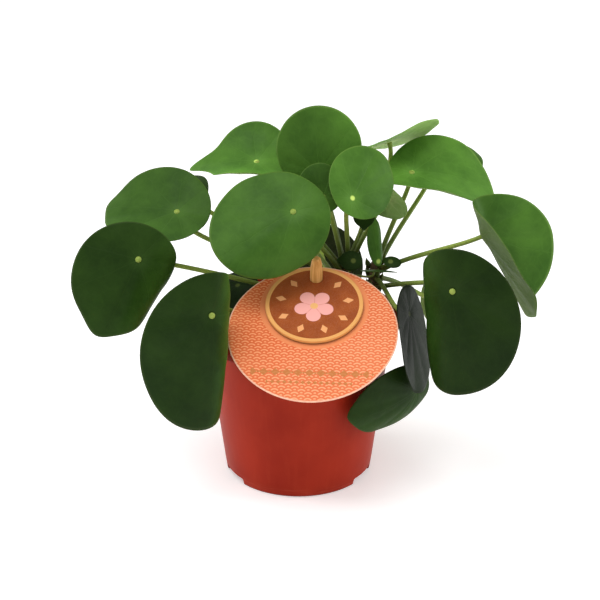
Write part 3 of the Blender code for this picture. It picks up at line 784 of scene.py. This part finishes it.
# Soil
def soil_height(x, y):
    share = hypot(x, y) / (wall_radius(SOIL_TOP) - POT_WALL)
    place = Vector((x, y, 0)) / MM
    lumps = noise.fractal(place * 0.16, 0.7, 2.2, 4) * 0.5 + noise.noise(place * 0.05)
    return SOIL_TOP + SOIL_CROWN * (1 - share**2) + SOIL_LUMPS * (lumps - 0.6)


def make_soil(paint):
    edge = wall_radius(SOIL_TOP) - POT_WALL - SOIL_GAP
    rings = [[Vector((0, 0, soil_height(0, 0)))]]
    for number in range(1, SOIL_RINGS + 1):
        radius, ring = edge * number / SOIL_RINGS, []
        for angle in around(SOIL_SIDES):
            x, y = radius * sin(angle), radius * cos(angle)
            ring.append(Vector((x, y, soil_height(x, y))))
        rings.append(ring)
    low = DRAIN_HEIGHT + POT_WALL + SOIL_GAP
    for height in (SOIL_TOP - SOIL_EDGE, low):
        radius = wall_radius(height) - POT_WALL - SOIL_GAP
        rings.append([at(angle, radius, height) for angle in around(SOIL_SIDES)])
    rings.append([Vector((0, 0, low))])
    add_piece("compost", skin("compost", rings), [paint], "potting_soil", "soil")
    make_crumbs(paint, edge)


def make_crumbs(paint, edge):
    """Loose crumbs of compost and bark, half sunk in the surface."""
    bm = bmesh.new()
    golden = pi * (3 - sqrt(5))
    for number in range(CRUMBS):
        radius = (edge - 2.5 * MM) * sqrt((number + 0.5) / CRUMBS)
        seed = Vector((number * 7.31, number * 3.17, 0.5))
        angle = golden * number + noise.noise(seed) * 0.8
        x, y = radius * sin(angle), radius * cos(angle)
        size = (0.7 + 1.1 * abs(noise.noise(seed * 1.7))) * MM
        made = bmesh.ops.create_icosphere(bm, subdivisions=2, radius=size)["verts"]
        stretch = Vector((1 + 0.7 * noise.noise(seed * 2.3), 1 + 0.5 * noise.noise(seed * 0.9), 0.75))
        turn = Matrix.Rotation(noise.noise(seed * 0.37) * pi, 3, "Z")
        for vert in made:
            bulge = 1 + 0.45 * noise.noise(vert.co / size * 1.3 + seed)
            shaped = turn @ Vector(a * b for a, b in zip(vert.co * bulge, stretch))
            vert.co = shaped + Vector((x, y, soil_height(x, y) + 0.25 * size))
    add_piece("compost_crumbs", mesh_from(bm, "compost_crumbs"), [paint], "potting_soil")


# Stems and stalks
def tube_rings(points, radii, sides):
    """Rings round a smooth run of points, turned as little as can be from one to the next."""
    last = len(points) - 1
    rings, shares = [[points[0]]], [0.0]
    side = (points[1] - points[0]).normalized().orthogonal().normalized()
    for number, (point, radius) in enumerate(zip(points, radii)):
        before, after = points[max(0, number - 1)], points[min(last, number + 1)]
        forward = (after - before).normalized()
        side = (side - forward * side.dot(forward)).normalized()
        other = forward.cross(side)
        ring = [point + (side * cos(a) + other * sin(a)) * radius for a in around(sides)]
        rings.append(ring)
        shares += [number / last] * sides
    return rings + [[points[-1]]], shares + [1.0]


def stem_radius(key, share):
    low, high = STEMS[key][3:]
    return low + (high - low) * share


def stalk_route(leaf, radius):
    """Points from the stem to just under the blade, along one smooth curve."""
    _, foot, top = STEMS[leaf.stem][:3]
    root_axis = foot.lerp(top, leaf.height)
    normal = facing(leaf.turn, leaf.lift).col[2].to_3d()
    under_blade = BLADE_THICKNESS * 0.9 + leaf.hang * radius
    end = Vector(leaf.hub) * MM - normal * under_blade
    outward = Vector((end.x - root_axis.x, end.y - root_axis.y, 0)).normalized()
    straight = atan2(end.z - root_axis.z, (end - root_axis).xy.length)
    rise = min(straight + radians(leaf.rise), radians(STALK_STEEPEST))
    leave = outward * cos(rise) + Vector((0, 0, sin(rise)))
    root = root_axis + outward * (stem_radius(leaf.stem, leaf.height) - radius)
    reach = (end - root).length
    under = Vector((0, 0, leaf.hang)) - normal * (1 - leaf.hang)
    controls = root, root + leave * reach * STALK_BOW, end + under * reach * leaf.arrive, end
    points = []
    for step in range(STALK_STEPS):
        t = step / (STALK_STEPS - 1)
        weights = (1 - t) ** 3, 3 * t * (1 - t) ** 2, 3 * t**2 * (1 - t), t**3
        points.append(sum((c * w for c, w in zip(controls, weights)), Vector()))
    return points


def make_stalk(leaf, radius, paint, tone):
    points = stalk_route(leaf, radius)
    radii = []
    for number in range(STALK_STEPS):
        share = number / (STALK_STEPS - 1)
        swell = 0.45 * exp(-((share / 0.06) ** 2))
        swell += 0.35 * exp(-(((1 - share) / 0.03) ** 2))
        uneven = 0.05 * noise.noise(Vector((share * 9, leaf.hub[0], leaf.hub[2])))
        radii.append(radius * (1.2 - 0.14 * share + swell + uneven))
    rings, shares = tube_rings(points, radii, STALK_SIDES)
    name = leaf.name + "_petiole"
    mesh = skin(name, rings, {"along": shares, "tone": [tone] * len(shares)})
    return add_piece(name, mesh, [paint], "stalk_green", leaf.name + "_stalk")


def make_stem(key, paint):
    """A knobbly stem with the ridged scars of old leaves, and a blunt bud on top."""
    node, foot, top = STEMS[key][:3]
    direction = top - foot
    length = direction.length
    rings = [[Vector((0, 0, 0))]]
    for number in range(STEM_STEPS + 1):
        share = number / STEM_STEPS
        ring = []
        for angle in around(STEM_SIDES):
            place = Vector((cos(angle), sin(angle), share * 6))
            radius = stem_radius(key, share)
            radius *= 1 + 0.09 * noise.noise(place * 1.7) + 0.03 * noise.noise(place * 5)
            scar = 0.0
            for knob in range(SCARS):
                gap = remainder(angle - knob * SPIRAL, tau)
                rise = (share - (knob + 0.5) / SCARS) * length / MM
                scar += exp(-((gap / 0.55) ** 2) - ((rise / 1.3) ** 2))
            radius += scar * 0.45 * MM
            if share > BUD_FROM:
                radius *= sqrt(max(0.0, 1 - ((share - BUD_FROM) / BUD_LENGTH) ** 2))
            ring.append(Vector((radius * cos(angle), radius * sin(angle), share * length)))
        rings.append(ring)
    rings.append([Vector((0, 0, length))])
    mesh = skin(node, rings)
    mesh.transform(Matrix.Translation(foot) @ along(direction))
    return add_piece(node + "_bark", mesh, [paint], "stem_bark", node)


def make_stipules(paint):
    """Small pointed scales that stand round the stems between the leaf stalks."""
    bm = bmesh.new()
    for key, (_, foot, top, low_radius, _) in STEMS.items():
        for number in range(STIPULES):
            seed = Vector((number * 1.7, low_radius / MM, 4.0))
            level = 0.35 + 0.65 * number / STIPULES
            angle = number * SPIRAL + noise.noise(seed) * 2
            out = Vector((cos(angle), sin(angle), 0))
            root = foot.lerp(top, level) + out * stem_radius(key, level)
            length = (7 + 3 * noise.noise(seed * 2)) * MM
            points, radii = [], []
            for step in range(STIPULE_STEPS):
                share = step / (STIPULE_STEPS - 1)
                bow = out * length * (0.55 * share - 0.2 * share**2)
                points.append(root + bow + Vector((0, 0, length * share)))
                belly = sin(pi * min(1, share * 0.75 + 0.25))
                radii.append((0.15 + 1.5 * belly**1.5) * MM)
            rings, shares = tube_rings(points, radii, STIPULE_SIDES)
            marks = {"along": [0.35 * share for share in shares], "tone": [0.6] * len(shares)}
            made = skin("stipule", rings, marks)
            bm.from_mesh(made)
            bpy.data.meshes.remove(made)
    add_piece("crown_stipules", mesh_from(bm, "crown_stipules"), [paint], "stalk_green")


# Blades
def side_bend(x, leaf):
    bend = radians(leaf.left if x > 0 else leaf.right)
    crease = leaf.width / 2 * leaf.crease
    bent = min(abs(x), crease)
    straight = abs(x) - bent
    angle = bend * bent / crease
    radius = crease / bend
    out = radius * sin(angle) + straight * cos(angle)
    drop = radius * (cos(angle) - 1) - straight * sin(angle)
    return copysign(out, x), drop


def flat_point(leaf, angle, share):
    """Where a point of the blade lies from the stalk before it is bent, in mm."""
    ahead = leaf.length * (0.5 - leaf.seat)
    pointed = leaf.point * max(0, cos(angle)) ** TIP_SHARPNESS
    x = leaf.width / 2 * sin(angle) * share
    y = (ahead + leaf.length / 2 * cos(angle) + pointed) * share
    return x * OUTLINE, y * OUTLINE


def bent_point(leaf, x, y):
    side, drop = side_bend(x, leaf)
    long_bend = radians(leaf.droop) / (leaf.length * (1 - leaf.seat))
    radius = 1 / long_bend + drop
    return Vector(
        (side, radius * sin(long_bend * y), radius * cos(long_bend * y) - 1 / long_bend)
    )


def relief(leaf, x, y, angle, share, seed):
    """How far the upper side stands off the plain bent sheet, in mm."""
    reach = hypot(x, y)
    size = leaf.width / 60
    dimple = -0.9 * size * exp(-((reach / (4.5 * size)) ** 2))
    low = noise.noise(Vector((x * 0.035, y * 0.035, seed * 5.1))) * 1.1 - 0.35
    swell = 0.28 * abs(sin(VEINS / 2 * angle + seed)) * share * (1.25 - share) * 4
    frill = 0.45 * sin(3 * angle + seed * 2) + 0.25 * sin(7 * angle + seed)
    return size * (dimple + (low + swell) * min(1, share * 1.5) + frill * share**6)


# Painted light and shade across a blade: the leaf's own value in the middle, its side values towards the
# margins
def painted_light_at(leaf, tone, x):
    side = max(-1.0, min(1.0, x / (0.35 * leaf.width)))
    other = SIDE_LIGHT_AND_SHADE.get(leaf.name, (tone, tone))[0 if side > 0 else 1]
    return tone + (other - tone) * side**2 * (3 - 2 * abs(side))


def make_blade(leaf, rings_count, steps, finishes, seed, tone):
    upper, flats = [], []
    for number in range(rings_count + 1):
        share = number / rings_count
        angles = [angle - pi for angle in around(steps)] if number else [-pi]
        flats.append([Vector((*flat_point(leaf, angle, share), share)) for angle in angles])
        upper.append([bent_point(leaf, *flat_point(leaf, angle, share)) for angle in angles])
    raised, lower = [], []
    for number, ring in enumerate(upper):
        share = number / rings_count
        high_ring, low_ring = [], []
        for step, point in enumerate(ring):
            if number == 0:
                normal = Vector((0, 0, 1))
                angle = 0.0
            else:
                inner = upper[number - 1][step if number > 1 else 0]
                ahead, behind = ring[(step + 1) % steps], ring[step - 1]
                normal = (behind - ahead).cross(inner - point).normalized()
                if normal.z < -0.99:
                    normal.negate()
                angle = tau * step / steps - pi
            x, y, _ = flats[number][step]
            high = point + normal * relief(leaf, x, y, angle, share, seed)
            thick = BLADE_THICKNESS / MM * (0.35 + 0.65 * (1 - share**8))
            high_ring.append(high * MM)
            low_ring.append((high - normal * thick) * MM)
        raised.append(high_ring)
        lower.append(low_ring)
    rings = raised + lower[::-1]
    marks = [flat for ring in flats + flats[::-1] for flat in ring]
    name = leaf.name + "_blade"
    mesh = skin(
        name, rings, {"flat": marks, "tone": [painted_light_at(leaf, tone, mark.x) for mark in marks]},
        lambda number: 0 if number <= rings_count else 1,
    )
    matrix = Matrix.Translation(Vector(leaf.hub) * MM) @ facing(leaf.turn, leaf.lift, leaf.roll)
    mesh.transform(matrix)
    return add_piece(name, mesh, finishes, "leaf_green", leaf.name)


# Label
CARD_AXES = facing(CARD_TURN, CARD_LIFT)
CARD_NORMAL = CARD_AXES.col[2].to_3d()
CARD_DOWNHILL = CARD_AXES.col[1].to_3d()
STAKE_DIRECTION = Vector((0, -sin(STAKE_LEAN), cos(STAKE_LEAN)))
STAKE_CROSSING = CARD_CENTRE - CARD_DOWNHILL * (CARD_RADIUS - STAKE_FROM_TOP)
STAKE_TOP = STAKE_CROSSING + STAKE_DIRECTION * (STAKE_ABOVE_DISC + FIT + DISC_THICKNESS)
STAKE_DEPTH = (STAKE_CROSSING.z - SOIL_TOP) / STAKE_DIRECTION.z + STAKE_IN_SOIL
STAKE_FOOT = STAKE_CROSSING - STAKE_DIRECTION * STAKE_DEPTH


def stake_cutter():
    length = 4 * STAKE_ABOVE_DISC
    radius = STAKE_RADIUS + FIT
    mesh = turned("stake_cutter", [(0, 0), (radius, 0), (radius, length), (0, length)], STAKE_SIDES)
    low_end = STAKE_CROSSING - STAKE_DIRECTION * length / 2
    return new_object("stake_cutter", mesh, Matrix.Translation(low_end) @ along(STAKE_DIRECTION))


def threaded(name, mesh, matrix, paints, slot, node):
    """A piece of the label with the stake's hole cut through it."""
    for paint in paints:
        mesh.materials.append(paint.material)
    thing = new_object(name, mesh, matrix)
    cut(thing, [stake_cutter()])
    shaped = thing.data
    bpy.data.objects.remove(thing)
    shaped.materials.clear()
    round_edges(shaped, 50)
    settle(shaped, matrix)
    return add_piece(name, shaped, paints, slot, node)


def make_card(front, bare):
    def place(angle, share, below):
        x = CARD_RADIUS * share * sin(angle)
        y = CARD_RADIUS * share * cos(angle)
        sag = CARD_SAG * (max(0, y) / CARD_RADIUS) ** 2
        return Vector((x, y, -sag - below))

    shares = [number / CARD_RINGS for number in range(1, CARD_RINGS)] + [1 - CARD_EDGE / CARD_RADIUS]
    layers = [(share, 0) for share in shares]
    layers += [(1, CARD_EDGE), (1, CARD_THICKNESS - CARD_EDGE)]
    layers += [(share, CARD_THICKNESS) for share in reversed(shares)]
    rings = [[place(0, 0, 0)]]
    for share, below in layers:
        rings.append([place(angle, share, below) for angle in around(CARD_SIDES)])
    rings.append([place(0, 0, CARD_THICKNESS)])
    name = "label_card_print"
    mesh = skin(name, rings, None, lambda number: 0 if number <= len(shares) else 1)
    matrix = Matrix.Translation(CARD_CENTRE) @ CARD_AXES
    return threaded(name, mesh, matrix, [front, bare], "printed_card", "label_card")


def make_disc(front):
    edge, border = 0.4 * MM, DISC_RADIUS - DISC_BORDER
    sunk = DISC_THICKNESS - 0.25 * MM
    profile = [(0, sunk)] + [(border * share, sunk) for share in (0.25, 0.5, 0.75, 0.985)]
    profile += [(border, sunk + 0.05 * MM), (border + 0.2 * MM, DISC_THICKNESS - 0.04 * MM)]
    profile += [(border + 0.35 * MM, DISC_THICKNESS)]
    profile += arc((DISC_RADIUS - edge, DISC_THICKNESS - edge), edge, 90, 0, 4)
    profile += arc((DISC_RADIUS - edge, edge), edge, 0, -90, 4)
    profile += [(0, 0)]
    mesh = turned("label_disc_print", profile, CARD_SIDES)
    up_card = CARD_RADIUS - DISC_RADIUS - DISC_FROM_TOP
    centre = CARD_CENTRE - CARD_DOWNHILL * up_card + CARD_NORMAL * FIT
    matrix = Matrix.Translation(centre) @ CARD_AXES
    return threaded("label_disc_print", mesh, matrix, [front], "disc_brown", "label_disc")


def make_stake(paint):
    length = (STAKE_TOP - STAKE_FOOT).length
    blunt = [(0, length), (STAKE_TIP_RADIUS * 0.75, length)]
    profile = blunt + [(STAKE_TIP_RADIUS, length - 0.5 * MM)]
    for number in range(1, TAPER_STEPS):
        share = number / TAPER_STEPS
        radius = STAKE_TIP_RADIUS + (STAKE_RADIUS - STAKE_TIP_RADIUS) * share
        swell = sin(share * pi) * 0.25 * MM
        profile.append((radius + swell, length - STAKE_TAPER * share))
    profile += [(STAKE_RADIUS, length - STAKE_TAPER * 1.05)]
    plain = length - 2 * STAKE_TAPER
    for number in range(1, STAKE_STEPS + 1):
        profile.append((STAKE_RADIUS, length - STAKE_TAPER - plain * number / STAKE_STEPS))
    profile += [(STAKE_TIP_RADIUS, 0.4 * MM), (STAKE_TIP_RADIUS * 0.8, 0), (0, 0)]

    def facets(angle, height):
        cutting = max(0.0, 1 - (length - height) / STAKE_TAPER)
        flat = -0.16 * MM * cutting * (0.5 + 0.5 * cos(angle * 8))
        return flat + 0.03 * MM * noise.noise(Vector((angle * 2, height / MM * 0.2, 3)))

    mesh = turned("label_stake_wood", profile, STAKE_SIDES, facets)
    matrix = Matrix.Translation(STAKE_FOOT) @ along(STAKE_DIRECTION)
    round_edges(mesh, 40)
    settle(mesh, matrix)
    return add_piece("label_stake_wood", mesh, [paint], "pale_wood", "label_stake")


# Studio
def make_floor():
    bm = bmesh.new()
    bmesh.ops.create_grid(bm, x_segments=4, y_segments=4, size=6)
    mesh = mesh_from(bm, "studio_floor")
    floor = new_object("studio_floor", mesh)
    paint = Paint("pale_floor")
    fine = paint.noise(paint.place(), 30.0, 3.0)
    paint.set(Base_Color=paint.mix(fine, (0.88, 0.88, 0.88), (0.9, 0.9, 0.9)), Roughness=0.9)
    paint.set(Specular_IOR_Level=0.0, Emission_Color=(1.0, 1.0, 1.0), Emission_Strength=0.3)
    mesh.materials.append(paint.material)


def area_light(name, place, target, size, power):
    light = bpy.data.lights.new(name, "AREA")
    light.shape = "RECTANGLE"
    light.size, light.size_y = size
    light.energy = power
    made = new_object(name, light)
    made.location = place
    made.rotation_euler = (Vector(target) - Vector(place)).to_track_quat("-Z", "Y").to_euler()


def make_studio():
    make_floor()
    for light in LIGHTS:
        area_light(*light)
    world = bpy.data.worlds.new("studio")
    bpy.context.scene.world = world
    world.use_nodes = True
    sky = world.node_tree.nodes["Background"]
    sky.inputs["Color"].default_value = (1, 1, 1, 1)
    sky.inputs["Strength"].default_value = SKY_STRENGTH
    camera = bpy.data.cameras.new("camera")
    camera.lens, camera.sensor_width = CAMERA_LENS, CAMERA_SENSOR
    made = new_object("camera", camera)
    made.location = CAMERA_PLACE
    made.rotation_euler = (radians(90 - CAMERA_DOWN), 0, 0)
    bpy.context.scene.camera = made
    bpy.context.scene.view_settings.view_transform = "Standard"


make_studio()
UPPER = leaf_paint(
    "leaf_upper_side", (0.03, 0.082, 0.01), (0.06, 0.145, 0.018), (0.085, 0.19, 0.03), 0.18, 0.44, -0.4
)
UNDER = leaf_paint(
    "leaf_underside", (0.11, 0.19, 0.05), (0.16, 0.25, 0.075), (0.26, 0.33, 0.12), 0.35, 0.6, 0.7
)
STALK, BARK, SOIL = stalk_paint(), bark_paint(), soil_paint()
make_pot(pot_paint())
make_soil(SOIL)
for key in STEMS:
    make_stem(key, BARK)
make_stipules(STALK)
for leaves, rings, steps, stalk_radius, stalk_tone, first_seed in (
    (LEAVES, BLADE_RINGS, BLADE_STEPS, STALK_RADIUS, 1.0, 1),
    (YOUNG_LEAVES, YOUNG_RINGS, YOUNG_STEPS, YOUNG_STALK_RADIUS, 0.8, 30),
):
    for seed, leaf in enumerate(leaves, first_seed):
        make_blade(leaf, rings, steps, [UPPER, UNDER], seed, LEAF_LIGHT_AND_SHADE.get(leaf.name, 1.0))
        make_stalk(leaf, stalk_radius, STALK, stalk_tone)
make_card(card_paint(), paper_paint())
make_disc(disc_paint())
make_stake(wood_paint())
